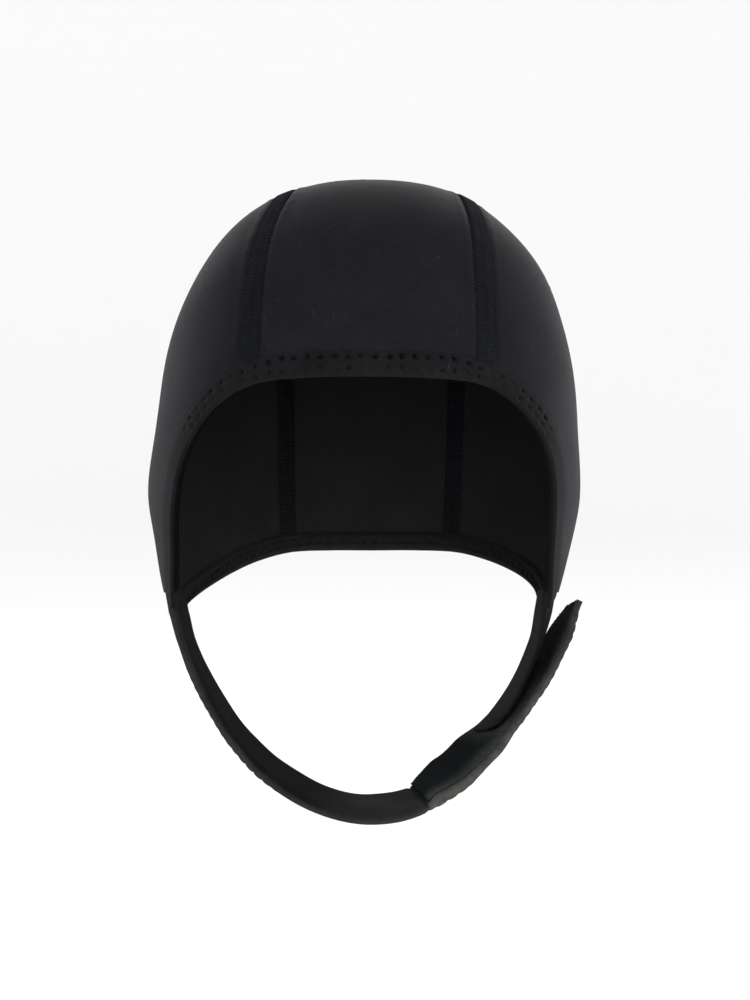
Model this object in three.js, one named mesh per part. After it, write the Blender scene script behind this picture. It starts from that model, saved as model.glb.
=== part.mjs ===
// Snorkelling hood of black neoprene: three panels joined by flat seams, a turned hem round
// the face and one round the nape, a chin strap with a hook end and a short loop tab.
// Millimetres. X runs to the right as seen from the front, Y to the back and Z up.
// The origin is the inside of the crown, where the top of the head sits.
import * as THREE from "three";

const wall = 2.5; // neoprene with a knitted face on both sides
const gap = 0.3; // clearance between neighbouring pieces

// Outer form of the worn hood: how far it reaches from a middle at ear height, and how
// square it is. A power of 2 is an ellipse, and more is squarer.
const form = {
  middleHeight: -119,
  halfWidth: 81,
  front: 98.5,
  back: 97,
  up: 120.2,
  down: 112,
  widthPower: 2.36,
  depthPower: 2.25,
  upPower: 2.66,
  downPower: 1.73,
};

// The lower hood leans a little to the plain side in front and the other way behind, and
// both sides swell over the ears.
const lean = { most: -3.6, top: -20, bottom: -163, fadeBack: 70, sway: 1.5 };
const ears = {
  left: { side: -1, swell: 1.9 },
  right: { side: 1, swell: 0.9 },
  height: -117,
  behind: 2,
  halfHeight: 15.4,
  halfDepth: 36,
};

// The front edges of both flaps turn in towards the cheeks.
const cheeks = { turnIn: 4.2, top: -100, bottom: -145, reach: 62 };

// Face edge from the middle of the brow to the front of the strap root, near the form.
const faceRows = [
  { x: 0, y: -96, z: -71.6 },
  { x: 21, y: -94, z: -72.2 },
  { x: 40.5, y: -86.3, z: -75 },
  { x: 52.3, y: -78.6, z: -81.5 },
  { x: 61.7, y: -68.3, z: -93.5 },
  { x: 68.4, y: -59, z: -109 },
  { x: 71.9, y: -50, z: -127 },
  { x: 72.6, y: -39, z: -146 },
  { x: 72, y: -27.5, z: -160 },
];

// Nape edge from the middle of the back to the rear of the strap root.
const napeRows = [
  { x: 0, y: 92, z: -148 },
  { x: 18, y: 91, z: -148 },
  { x: 35, y: 86, z: -148.5 },
  { x: 48, y: 76, z: -151 },
  { x: 59, y: 62, z: -155 },
  { x: 67, y: 45, z: -159.5 },
  { x: 70.5, y: 28, z: -163 },
  { x: 72, y: 12, z: -166.5 },
];

// Both seams, from the brow over the crown to the nape: how far out each of them runs at
// a depth and a height.
const seamRows = [
  { left: 41, right: 41, y: -86, z: -74.8 },
  { left: 43.9, right: 44, y: -80, z: -42 },
  { left: 41.6, right: 43.6, y: -60, z: -16 },
  { left: 34.5, right: 40.8, y: -28, z: -1 },
  { left: 33.5, right: 38, y: 10, z: 1 },
  { left: 36, right: 37, y: 48, z: -6 },
  { left: 38.5, right: 37.8, y: 78, z: -36 },
  { left: 37.3, right: 37, y: 91, z: -90 },
  { left: 36, right: 31.5, y: 86, z: -148.5 },
];
const seamRow = 2; // the row of both edge tables near which the seams end

const hem = { width: 8, thick: 4.4, proud: 0.3, noseSteps: 3, noseAngle: 75 };
const seam = { halfWidth: 4, proud: 0.45, edgeProud: 0.1 };

// Middle line of the chin strap after the left root: round the chin and up to the free end.
// Turn is how far the front edge swings out of the loop, in degrees.
const strapRows = [
  { x: -69.4, y: -9.2, z: -175, turn: 1 },
  { x: -64.8, y: -11.5, z: -186.5, turn: 2 },
  { x: -57.7, y: -14.5, z: -199, turn: 2.5 },
  { x: -48.5, y: -18.5, z: -211.5, turn: 3.5 },
  { x: -36.7, y: -23, z: -222.4, turn: 4 },
  { x: -19, y: -28, z: -231.6, turn: 4 },
  { x: 0, y: -31, z: -235.2, turn: 5 },
  { x: 18.6, y: -29, z: -231.8, turn: 7 },
  { x: 31.9, y: -26, z: -223.7, turn: 10 },
  { x: 40.4, y: -22.5, z: -214.4, turn: 11 },
  { x: 49.7, y: -18.5, z: -206, turn: 3.5 },
  { x: 58.9, y: -15, z: -195.6, turn: 2.5 },
  { x: 66.1, y: -12, z: -184.6, turn: 4 },
  { x: 71.6, y: -10, z: -173, turn: 6.2 },
  { x: 77.4, y: -8.5, z: -160, turn: -3.5 },
];
const strap = { width: 38, thick: 3.6, joinRow: 8, steps: 26 };
const strapEnd = {
  width: 38,
  joinThick: 4.6, // where it is sewn to the strap
  thick: 2.4,
  easeShare: 0.34,
  steps: 24,
  corner: 3,
  cornerShare: 0.04,
};

// Middle line of the short tab after the right root, and its round tip.
const tabRows = [
  { x: 63.4, y: -9.2, z: -174.5, turn: 1.5 },
  { x: 59.2, y: -11, z: -184.8, turn: 0.5 },
  { x: 53.4, y: -14, z: -194.9, turn: 1 },
  { x: 46.3, y: -17, z: -203.2, turn: 2 },
  { x: 41.7, y: -19.5, z: -206.8, turn: 4.5 },
];
const tab = { width: 36, thick: 2.2, steps: 18, tipLength: 14, tipWidth: 8, rootDepth: 2.4 };
const tape = { width: 34, thick: 0.7, loopStart: 6, margin: 1.5 };

// How finely the pieces and the lines they follow are divided, and how often a place is
// moved closer when it is sought.
const steps = { along: 36, centre: 12, side: 16, seek: 8 };
const lineDivisions = { edge: 40, seam: 400 };
const sideFade = 1.6; // how much sooner a side panel follows its root than its seam

const finish = {
  neoprene: new THREE.MeshStandardMaterial({ color: 0x26262a, roughness: 0.9, metalness: 0 }),
  hem: new THREE.MeshStandardMaterial({ color: 0x2b2a2a, roughness: 0.88, metalness: 0 }),
  thread: new THREE.MeshStandardMaterial({ color: 0x14161b, roughness: 0.8, metalness: 0 }),
  tape: new THREE.MeshStandardMaterial({ color: 0x10171a, roughness: 0.95, metalness: 0 }),
};

const middle = new THREE.Vector3(0, 0, form.middleHeight);
const lerp = THREE.MathUtils.lerp;

function smooth(value) {
  const part = Math.min(1, Math.max(0, value));
  return part * part * (3 - 2 * part);
}

// The three terms of the form for a place: share of the reach, and power.
function formTerms(place) {
  const away = place.clone().sub(middle);
  return [
    [away.x, form.halfWidth, form.widthPower],
    [away.y, away.y < 0 ? form.front : form.back, form.depthPower],
    [away.z, away.z < 0 ? form.down : form.up, away.z < 0 ? form.downPower : form.upPower],
  ];
}

// Moves a place straight away from the middle until it lies on the form.
function snap(place) {
  const terms = formTerms(place);
  let scale = 1;
  for (let step = 0; step < steps.seek; step++) {
    let miss = -1;
    let slope = 0;
    for (const [away, reach, power] of terms) {
      const term = (Math.abs(away / reach) * scale) ** power;
      miss += term;
      slope += (power * term) / scale;
    }
    scale -= miss / slope;
  }
  return place.clone().sub(middle).multiplyScalar(scale).add(middle);
}

function outward(place) {
  const slopes = formTerms(place).map(
    ([away, reach, power]) =>
      (Math.sign(away) * power * Math.abs(away / reach) ** (power - 1)) / reach,
  );
  return new THREE.Vector3(...slopes).normalize();
}

// Sets a place on the form to a depth in the wall, then adds the lean, ears and cheeks.
function inWall(place, depth) {
  const point = place.clone().addScaledVector(outward(place), -depth);
  const ear = point.x < 0 ? ears.left : ears.right;
  const rise = (place.z - ears.height) / ears.halfHeight;
  const back = (place.y - ears.behind) / ears.halfDepth;
  const swell = ear.swell * Math.exp(-(rise ** 2) - back ** 2);
  const drop = Math.max(0, (place.z - lean.top) / (lean.bottom - lean.top));
  const leaning = lean.most * drop ** 2 * (1 - lean.sway * smooth(place.y / lean.fadeBack));
  const low = smooth((place.z - cheeks.top) / (cheeks.bottom - cheeks.top));
  const hug = cheeks.turnIn * low * smooth(-place.y / cheeks.reach);
  point.x += ear.side * (swell - hug) + leaning;
  return point;
}

function onForm(row, side = 1) {
  return snap(new THREE.Vector3(side * row.x, row.y, row.z));
}

// An edge of the hood. Across runs from -2 at the left root, through -1 at the left seam,
// 0 in the middle and 1 at the right seam, to 2 at the right root.
function edgeLine(rows) {
  const right = rows.map((row) => onForm(row));
  const left = rows.slice(1).map((row) => onForm(row, -1)).reverse();
  const curve = new THREE.CatmullRomCurve3([...left, ...right], false, "centripetal");
  curve.arcLengthDivisions = lineDivisions.edge * (2 * rows.length - 2);
  const lengths = curve.getLengths();
  const total = lengths[lengths.length - 1];
  const seamLength = lengths[lineDivisions.edge * (rows.length - 1 + seamRow)];
  const seamShare = seamLength / total - 0.5;
  return (across) => {
    const far = Math.abs(across);
    const share = far < 1 ? far * seamShare : seamShare + (far - 1) * (0.5 - seamShare);
    return snap(curve.getPointAt(Math.min(1, 0.5 + Math.sign(across) * share)));
  };
}

function seamLine(side) {
  const sign = side === "left" ? -1 : 1;
  const points = seamRows.map((row) => onForm({ ...row, x: row[side] }, sign));
  const curve = new THREE.CatmullRomCurve3(points, false, "centripetal");
  curve.arcLengthDivisions = lineDivisions.seam;
  return (along) => snap(curve.getPointAt(Math.min(1, Math.max(0, along))));
}

const faceEdge = edgeLine(faceRows);
const napeEdge = edgeLine(napeRows);
const seams = { left: seamLine("left"), right: seamLine("right") };

// A place beside a line on the form, at a distance to its left as the line runs.
function beside(line, at, distance, low, high) {
  const small = 0.01;
  const place = line(at);
  const ahead = line(Math.min(high, at + small));
  const behind = line(Math.max(low, at - small));
  const tangent = ahead.sub(behind).normalize();
  const sideways = outward(place).cross(tangent);
  return snap(place.addScaledVector(sideways, distance));
}

const fromFace = (across, distance) => beside(faceEdge, across, distance, -2, 2);
const fromNape = (across, distance) => beside(napeEdge, across, -distance, -2, 2);
const fromSeam = (side, along, distance) => beside(seams[side], along, -distance, 0, 1);

// A patch of the form between four boundary lines whose corners are closed up first.
function patch(face, nape, start, end, fade) {
  const corner = [face(0), nape(0), face(1), nape(1)];
  const closed = (line, first, last) => (along) =>
    line(along)
      .addScaledVector(first.clone().sub(line(0)), 1 - along)
      .addScaledVector(last.clone().sub(line(1)), along);
  const startLine = closed(start, corner[0], corner[1]);
  const endLine = closed(end, corner[2], corner[3]);
  return (across, along) => {
    const weight = 1 - (1 - across) ** fade;
    const place = startLine(along).multiplyScalar(1 - weight).addScaledVector(endLine(along), weight);
    place.addScaledVector(face(across), 1 - along).addScaledVector(nape(across), along);
    place.addScaledVector(corner[0], -(1 - weight) * (1 - along));
    place.addScaledVector(corner[1], -(1 - weight) * along);
    place.addScaledVector(corner[2], -weight * (1 - along));
    place.addScaledVector(corner[3], -weight * along);
    return snap(place);
  };
}

// A closed body through rings of equal count. The halves of a ring face each other, so the
// first and last rings are closed by joining the halves, and the triangles of the second
// half are cut the other way to keep both faces parallel.
function bodyFromRings(rings) {
  const count = rings[0].length;
  const position = rings.flat().flatMap((point) => [point.x, point.y, point.z]);
  const faces = [];
  const quad = (a, b, c, d) => faces.push([a, b, c], [a, c, d]);
  for (let r = 0; r < rings.length - 1; r++) {
    for (let k = 0; k < count; k++) {
      const next = (k + 1) % count;
      const [a, b, c, d] = [k, next, count + next, count + k].map((index) => r * count + index);
      if (k < count / 2) quad(a, b, c, d);
      else quad(b, c, d, a);
    }
  }
  const last = (rings.length - 1) * count;
  for (let k = 0; k < count / 2 - 1; k++) {
    const [a, b, c, d] = [k, k + 1, count - 2 - k, count - 1 - k];
    quad(d, c, b, a);
    quad(last + a, last + b, last + c, last + d);
  }
  const corner = (index) => new THREE.Vector3(...position.slice(3 * index, 3 * index + 3));
  const volume = faces.reduce(
    (sum, [a, b, c]) => sum + corner(a).dot(corner(b).cross(corner(c))),
    0,
  );
  const outwards = volume > 0 ? faces : faces.map(([a, b, c]) => [a, c, b]);
  const geometry = new THREE.BufferGeometry();
  geometry.setAttribute("position", new THREE.Float32BufferAttribute(position, 3));
  geometry.setIndex(outwards.flat());
  geometry.computeVertexNormals();
  return geometry;
}

function makePiece(name, rings, material) {
  const mesh = new THREE.Mesh(bodyFromRings(rings), material);
  mesh.name = name;
  return mesh;
}

function shares(count) {
  return Array.from({ length: count + 1 }, (_, index) => index / count);
}

// The rings of a panel: outer face one way, inner face back.
function panelRings(place, acrossSteps) {
  return shares(steps.along).map((along) => {
    const row = shares(acrossSteps).map((across) => place(across, along));
    const outer = row.map((point) => inWall(point, 0));
    const inner = row.map((point) => inWall(point, wall)).reverse();
    return [...outer, ...inner];
  });
}

const clearOfHem = hem.width + gap;
const clearOfSeam = seam.halfWidth + gap;

// About where the hems cross a seam, as shares along it.
const brow = 0.03;
const nape = 0.97;

// The nearest place on a seam to a point, as a share along it, and how far out from the
// seam the point is, towards its own side of the hood.
function nearSeam(side, point, start) {
  const small = 0.002;
  let along = start;
  for (let step = 0; step < steps.seek; step++) {
    const place = seams[side](along);
    const ahead = seams[side](along + small).sub(place);
    along += (small * point.clone().sub(place).dot(ahead)) / ahead.lengthSq();
  }
  const place = seams[side](along);
  const sign = side === "left" ? -1 : 1;
  return { along, offset: sign * Math.sign(point.x - place.x) * place.distanceTo(point) };
}

// The corner of a panel between a hem and a seam: across along the edge, along the seam.
function panelCorner(side, fromEdge, start, outside) {
  const sign = side === "left" ? -1 : 1;
  const reach = outside ? clearOfSeam : -clearOfSeam;
  const small = 0.01;
  const perMillimetre = small / fromEdge(1, 0).distanceTo(fromEdge(1 + small, 0));
  let across = 1 + reach * perMillimetre;
  let near;
  for (let step = 0; step < steps.seek; step++) {
    near = nearSeam(side, fromEdge(sign * across, clearOfHem), start);
    across += (reach - near.offset) * perMillimetre;
  }
  return { across: sign * across, along: near.along };
}

function makeCentrePanel() {
  const faceLeft = panelCorner("left", fromFace, brow, false);
  const faceRight = panelCorner("right", fromFace, brow, false);
  const napeLeft = panelCorner("left", fromNape, nape, false);
  const napeRight = panelCorner("right", fromNape, nape, false);
  const place = patch(
    (across) => fromFace(lerp(faceLeft.across, faceRight.across, across), clearOfHem),
    (across) => fromNape(lerp(napeLeft.across, napeRight.across, across), clearOfHem),
    (along) => fromSeam("left", lerp(faceLeft.along, napeLeft.along, along), clearOfSeam),
    (along) => fromSeam("right", lerp(faceRight.along, napeRight.along, along), -clearOfSeam),
    1,
  );
  return makePiece("centre_panel", panelRings(place, steps.centre), finish.neoprene);
}

function makeSidePanel(name, side) {
  const sign = side === "left" ? -1 : 1;
  const atFace = panelCorner(side, fromFace, brow, true);
  const atNape = panelCorner(side, fromNape, nape, true);
  const rootFront = fromFace(2 * sign, clearOfHem);
  const rootRear = fromNape(2 * sign, clearOfHem);
  const place = patch(
    (across) => fromFace(lerp(atFace.across, 2 * sign, across), clearOfHem),
    (across) => fromNape(lerp(atNape.across, 2 * sign, across), clearOfHem),
    (along) => fromSeam(side, lerp(atFace.along, atNape.along, along), sign * clearOfSeam),
    (along) => snap(rootFront.clone().lerp(rootRear, along)),
    sideFade,
  );
  return makePiece(name, panelRings(place, steps.side), finish.neoprene);
}

// A flat seam fills the joint between two panels and stands a little proud on both faces.
function makeSeam(name, side) {
  const towardsSide = side === "left" ? -1 : 1;
  const ends = [false, true].map((outside) => ({
    from: panelCorner(side, fromFace, brow, outside).along,
    to: panelCorner(side, fromNape, nape, outside).along,
  }));
  const across = [-1, 0, 1];
  const lift = [seam.edgeProud, seam.proud, seam.edgeProud];
  const rings = shares(steps.along).map((along) => {
    const places = across.map((share) => {
      const slant = (share * towardsSide + 1) / 2;
      const from = lerp(ends[0].from, ends[1].from, slant);
      const to = lerp(ends[0].to, ends[1].to, slant);
      return fromSeam(side, lerp(from, to, along), share * seam.halfWidth);
    });
    const outer = places.map((place, index) => inWall(place, -lift[index]));
    const inner = places.map((place, index) => inWall(place, wall + lift[index])).reverse();
    return [...outer, ...inner];
  });
  return makePiece(name, rings, finish.thread);
}

// The section of a turned hem: distance from the edge and depth of each outer point, from
// the panel to the round nose. The inner points mirror them about half the thickness.
function hemSection() {
  const radius = hem.thick / 2;
  const nose = shares(hem.noseSteps).map((share) => {
    const angle = share * THREE.MathUtils.degToRad(hem.noseAngle);
    return {
      distance: radius * (1 - Math.sin(angle)),
      depth: radius * (1 - Math.cos(angle)) - hem.proud,
    };
  });
  return [{ distance: hem.width, depth: -hem.proud / 3 }, ...nose];
}

function makeHem(name, fromEdge) {
  const section = hemSection();
  const stations = [
    ...shares(steps.side).map((share) => share - 2),
    ...shares(steps.centre).slice(1, -1).map((share) => 2 * share - 1),
    ...shares(steps.side).map((share) => share + 1),
  ];
  const rings = stations.map((across) => {
    const places = section.map(({ distance }) => fromEdge(across, distance));
    const outer = places.map((place, index) => inWall(place, section[index].depth));
    const inner = places.map((place, index) =>
      inWall(place, hem.thick - 2 * hem.proud - section[index].depth),
    );
    return [...outer, ...inner.reverse()];
  });
  return makePiece(name, rings, finish.hem);
}

// The middle of a strap root at a depth in the flap, one gap below its end.
function rootMiddle(sign, depth) {
  const front = inWall(faceEdge(2 * sign), depth);
  const rear = inWall(napeEdge(2 * sign), depth);
  const above = inWall(faceEdge(1.9 * sign).lerp(napeEdge(1.9 * sign), 0.5), depth);
  const point = front.lerp(rear, 0.5);
  const down = point.clone().sub(above).normalize();
  return point.addScaledVector(down, gap);
}

// A strap's middle line, with its frame at each place. Facing is 1 where the line runs from
// left to right round the chin and -1 where it runs the other way.
function strapLine(start, rows, facing) {
  const points = [start, ...rows.map((row) => new THREE.Vector3(row.x, row.y, row.z))];
  const curve = new THREE.CatmullRomCurve3(points, false, "centripetal");
  const turns = [rows[0].turn, ...rows.map((row) => row.turn)];
  return (at) => {
    const place = Math.min(turns.length - 1.001, at * (turns.length - 1));
    const row = Math.floor(place);
    const turn = lerp(turns[row], turns[row + 1], smooth(place - row));
    const tangent = curve.getTangent(at);
    const rear = new THREE.Vector3(0, 1, 0);
    rear.addScaledVector(tangent, -rear.dot(tangent)).normalize();
    const out = rear.clone().cross(tangent).multiplyScalar(facing);
    const angle = THREE.MathUtils.degToRad(turn);
    return {
      centre: curve.getPoint(at),
      rear: rear.clone().multiplyScalar(Math.cos(angle)).addScaledVector(out, -Math.sin(angle)),
      out: out.multiplyScalar(Math.cos(angle)).addScaledVector(rear, Math.sin(angle)),
    };
  };
}

// A ring round a strap with chamfered edges. Lift is how far the middle stands out.
function strapRing(frame, width, thick, lift) {
  const chamfer = thick / 3;
  const section = [
    [-width / 2, thick / 2 - chamfer],
    [-width / 2 + chamfer, thick / 2],
    [width / 2 - chamfer, thick / 2],
    [width / 2, thick / 2 - chamfer],
  ];
  const point = (across, height) =>
    frame.centre
      .clone()
      .addScaledVector(frame.rear, across)
      .addScaledVector(frame.out, height + lift);
  const outer = section.map(([across, height]) => point(across, height));
  const inner = section.map(([across, height]) => point(across, -height)).reverse();
  return [...outer, ...inner];
}

const strapPath = strapLine(rootMiddle(-1, strap.thick / 2), strapRows, 1);
const tabPath = strapLine(rootMiddle(1, tab.rootDepth), tabRows, -1);
const joinAt = strap.joinRow / strapRows.length;

// The share of a path that one millimetre takes up at a place on it.
function sharePerMillimetre(path, at) {
  const small = 0.001;
  return small / path(at + small).centre.distanceTo(path(at).centre);
}

function makeStrap() {
  const rings = shares(strap.steps).map((share) =>
    strapRing(strapPath(share * joinAt), strap.width, strap.thick, 0),
  );
  return makePiece("chin_strap", rings, finish.neoprene);
}

// The hook end grows thinner from the join on, and its outer face lines up with the strap's.
function endThick(share) {
  return lerp(strapEnd.joinThick, strapEnd.thick, smooth(share / strapEnd.easeShare));
}

function endLift(share) {
  return (strap.thick - endThick(share)) / 2;
}

const endFrom = joinAt + gap * sharePerMillimetre(strapPath, joinAt);

function strapEndAt(share) {
  return lerp(endFrom, 1, share);
}

function makeStrapEnd() {
  const rings = shares(strapEnd.steps).map((share) => {
    const at = strapEndAt(share);
    const rounding = smooth(1 - (1 - share) / strapEnd.cornerShare);
    const width = strapEnd.width - strapEnd.corner * rounding;
    return strapRing(strapPath(at), width, endThick(share), endLift(share));
  });
  return makePiece("strap_end", rings, finish.neoprene);
}

function makeHookTape() {
  const stations = shares(strapEnd.steps).slice(0, -1);
  const rings = stations.map((share) => {
    const lift = endLift(share) - endThick(share) / 2 - gap - tape.thick / 2;
    return strapRing(strapPath(strapEndAt(share)), tape.width, tape.thick, lift);
  });
  return makePiece("hook_tape", rings, finish.tape);
}

// The width of the tab, rounded off towards its tip.
const tipShare = tab.tipLength * sharePerMillimetre(tabPath, 1 - 1 / tabRows.length);

function tabWidth(share, full) {
  const round = Math.max(0, 1 - (1 - share) / tipShare);
  return lerp(tab.tipWidth, full, Math.sqrt(1 - round ** 2));
}

function makeTab() {
  const rings = shares(tab.steps).map((share) =>
    strapRing(tabPath(share), tabWidth(share, tab.width), tab.thick, 0),
  );
  return makePiece("loop_tab", rings, finish.neoprene);
}

function makeLoopTape() {
  const lift = tab.thick / 2 + gap + tape.thick / 2;
  const stations = shares(tab.steps).slice(tape.loopStart, -1);
  const rings = stations.map((share) => {
    const width = tabWidth(share, tape.width) - tape.margin;
    return strapRing(tabPath(share), width, tape.thick, lift);
  });
  return makePiece("loop_tape", rings, finish.tape);
}

const hood = new THREE.Group();
hood.add(makeCentrePanel());
hood.add(makeSidePanel("side_panel_left", "left"));
hood.add(makeSidePanel("side_panel_right", "right"));
hood.add(makeSeam("flat_seam_left", "left"));
hood.add(makeSeam("flat_seam_right", "right"));
hood.add(makeHem("face_hem", fromFace));
hood.add(makeHem("nape_hem", fromNape));
hood.add(makeStrap());
hood.add(makeStrapEnd());
hood.add(makeHookTape());
hood.add(makeTab());
hood.add(makeLoopTape());

export default hood;
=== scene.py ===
import math

import bpy
import numpy as np
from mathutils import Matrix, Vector
from mathutils.kdtree import KDTree


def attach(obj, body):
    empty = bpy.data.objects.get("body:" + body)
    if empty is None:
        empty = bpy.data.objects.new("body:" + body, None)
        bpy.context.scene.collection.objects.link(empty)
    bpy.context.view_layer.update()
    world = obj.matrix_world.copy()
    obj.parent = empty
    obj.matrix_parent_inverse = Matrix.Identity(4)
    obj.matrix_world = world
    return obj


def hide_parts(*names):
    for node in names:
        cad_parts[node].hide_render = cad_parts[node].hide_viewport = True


# Snorkeling hood: every soft piece of the CAD model is rebuilt here as sewn neoprene.
# Lengths are in millimetres until they are multiplied by toMetres.
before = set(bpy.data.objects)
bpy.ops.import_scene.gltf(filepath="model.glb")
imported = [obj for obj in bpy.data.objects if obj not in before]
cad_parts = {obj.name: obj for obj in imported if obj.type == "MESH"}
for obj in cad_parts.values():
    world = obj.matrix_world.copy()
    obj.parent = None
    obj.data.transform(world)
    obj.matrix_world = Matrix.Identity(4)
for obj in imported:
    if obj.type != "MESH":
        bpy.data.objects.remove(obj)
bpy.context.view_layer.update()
print("frame loaded with", len(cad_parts), "pieces")

toMetres = 0.001
sideWords = {-1: "left", 1: "right"}
plainLook = {"sheen": 0.0, "sheenRoughness": 0.5, "sheenTint": (1, 1, 1, 1)}


# helpers for objects and materials

def addObject(name, data):
    thing = bpy.data.objects.new(name, data)
    bpy.context.scene.collection.objects.link(thing)
    return thing


def aimAlong(thing, direction):
    thing.rotation_mode = "QUATERNION"
    thing.rotation_quaternion = direction.to_track_quat("-Z", "Y")


def paired(*values):
    # coordinates, brought to one shape, as an array of places
    return np.stack(np.broadcast_arrays(*values), -1)


def quadsBetween(rows, size):
    # the faces between closed rings of equal count that follow each other
    corner = np.arange(rows - 1)[:, None] * size + np.arange(size)
    after = np.arange(rows - 1)[:, None] * size + (np.arange(size) + 1) % size
    return np.stack([corner, after, after + size, corner + size], -1).reshape(-1, 4)


def addNode(tree, kind, inputs, output, **settings):
    # an input is a plain value or another node's output
    node = tree.nodes.new("ShaderNode" + kind)
    for key, value in settings.items():
        setattr(node, key, value)
    for key, value in inputs.items():
        if isinstance(value, bpy.types.NodeSocket):
            tree.links.new(value, node.inputs[key])
        else:
            node.inputs[key].default_value = value
    return node.outputs[output]


def newFinish(name, look):
    look = {**plainLook, **look}
    finish = bpy.data.materials.new(name)
    finish.use_nodes = True
    shader = finish.node_tree.nodes["Principled BSDF"]
    shader.inputs["Base Color"].default_value = (*look["colour"], 1)
    shader.inputs["Roughness"].default_value = look["roughness"]
    shader.inputs["Specular IOR Level"].default_value = look["specular"]
    shader.inputs["Sheen Weight"].default_value = look["sheen"]
    shader.inputs["Sheen Roughness"].default_value = look["sheenRoughness"]
    shader.inputs["Sheen Tint"].default_value = look["sheenTint"]
    return finish, shader


# camera, floor and light

studio = {
    "lookAt": (2, 0, -121),
    "distance": 1000,
    "elevation": 3.5,
    "lens": 93.6,
    "floorHeight": -330,
    "floorRadius": 1500,
    "rimHeight": 1100,
    "paper": {"colour": (0.867, 0.867, 0.867), "roughness": 0.9, "specular": 0.0},
    "paperShades": (0.862, 0.872),  # darkest and palest reflectance
    "paperGrain": 3,
    "skyStrength": 1.0,
    "lampTarget": (0, 0, -0.12),  # in metres
    # name: place in metres, width in metres, watts
    "lamps": {
        "frontPanel": ((0.12, -1.45, 0.2), 0.7, 17),
        "leftPanel": ((-0.95, 0.3, 0.2), 0.8, 1.2),
        "rearPanel": ((0.1, 1.3, 0.65), 0.9, 4),
        "rightPanel": ((0.95, 0.25, 0.2), 0.8, 1.5),
        "lowRightPanel": ((0.9, -0.2, -0.3), 0.3, 4),
    },
}


def makeCamera():
    camera = addObject("photoCamera", bpy.data.cameras.new("photoCamera"))
    tilt = math.radians(studio["elevation"])
    back = Vector((0, -math.cos(tilt), math.sin(tilt)))
    camera.location = Vector(studio["lookAt"]) * toMetres + back * studio["distance"] * toMetres
    aimAlong(camera, -back)
    camera.data.lens = studio["lens"]
    bpy.context.scene.camera = camera


def makeFloor():
    # a round floor whose rim curves up into a backdrop, the same from every side
    rows, rounds = 25, 96
    rise = np.linspace(0, math.pi / 2, rows)[:, None]
    turn = 2 * math.pi * np.arange(rounds) / rounds
    radius = studio["floorRadius"] + studio["rimHeight"] * np.sin(rise)
    height = studio["floorHeight"] + studio["rimHeight"] * (1 - np.cos(rise))
    rim = paired(radius * np.cos(turn), radius * np.sin(turn), height)
    points = np.vstack([(0, 0, studio["floorHeight"]), rim.reshape(-1, 3)])
    hub = [(0, 1 + corner, 1 + (corner + 1) % rounds) for corner in range(rounds)]
    walls = 1 + quadsBetween(rows, rounds)[:, [0, 3, 2, 1]]
    mesh = bpy.data.meshes.new("paleFloor")
    mesh.from_pydata((points * toMetres).tolist(), [], hub + walls.tolist())
    mesh.polygons.foreach_set("use_smooth", [True] * len(mesh.polygons))
    paper, shader = newFinish("palePaper", studio["paper"])
    tree = paper.node_tree
    darkest, palest = studio["paperShades"]
    grain = addNode(tree, "TexNoise", {"Scale": studio["paperGrain"]}, "Fac")
    tone = addNode(tree, "MapRange", {"Value": grain, "To Min": darkest, "To Max": palest}, "Result")
    tree.links.new(tone, shader.inputs["Base Color"])
    mesh.materials.append(paper)
    floor = addObject("paleFloor", mesh)


def makeLights():
    world = bpy.data.worlds.new("studioSky")
    world.use_nodes = True
    background = world.node_tree.nodes["Background"]
    background.inputs["Color"].default_value = (1, 1, 1, 1)
    background.inputs["Strength"].default_value = studio["skyStrength"]
    bpy.context.scene.world = world
    for name, (place, width, watts) in studio["lamps"].items():
        light = bpy.data.lights.new(name, "AREA")
        light.shape, light.size, light.energy = "DISK", width, watts
        lamp = addObject(name, light)
        lamp.location = place
        aimAlong(lamp, Vector(studio["lampTarget"]) - Vector(place))
        lamp.visible_camera = False


makeCamera()
makeFloor()
makeLights()
bpy.context.scene.view_settings.view_transform = "Standard"
print("studio ready")


# the worn form, the same as in the CAD source

hoodForm = {
    "middleHeight": -119,  # ear height
    "halfWidth": 81,
    "front": 98.5,
    "back": 97,
    "up": 120.2,
    "down": 112,
    "widthPower": 2.36,
    "depthPower": 2.25,
    "upPower": 2.66,
    "downPower": 1.73,
    "wall": 2.5,
}
lean = {"most": -3.6, "top": -20, "bottom": -163, "fadeBack": 70, "sway": 1.5}
ears = {"leftSwell": 1.9, "rightSwell": 0.9, "height": -117, "behind": 2, "halfHeight": 15.4, "halfDepth": 36}
cheeks = {"turnIn": 4.2, "top": -100, "bottom": -145, "reach": 62}
# waves and drift are in radians for each mm
softDents = {"depth": 0.32, "waves": (0.071, 0.093, 0.117), "drift": (0.05, 0.03, 0.06), "second": 0.6}
formMiddle = np.array([0.0, 0.0, hoodForm["middleHeight"]])
solveRounds = 8  # steps towards each solution that has no formula


def smooth(value):
    part = np.clip(value, 0, 1)
    return part * part * (3 - 2 * part)


def mix(low, high, share):
    return low + (high - low) * share


def bell(value):
    return np.exp(-value ** 2)


def unit(vectors):
    return vectors / np.linalg.norm(vectors, axis=-1, keepdims=True)


def runAlong(points):
    # how far along a row of places each of them is
    return np.concatenate([[0], np.cumsum(np.linalg.norm(np.diff(points, axis=0), axis=1))])


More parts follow.
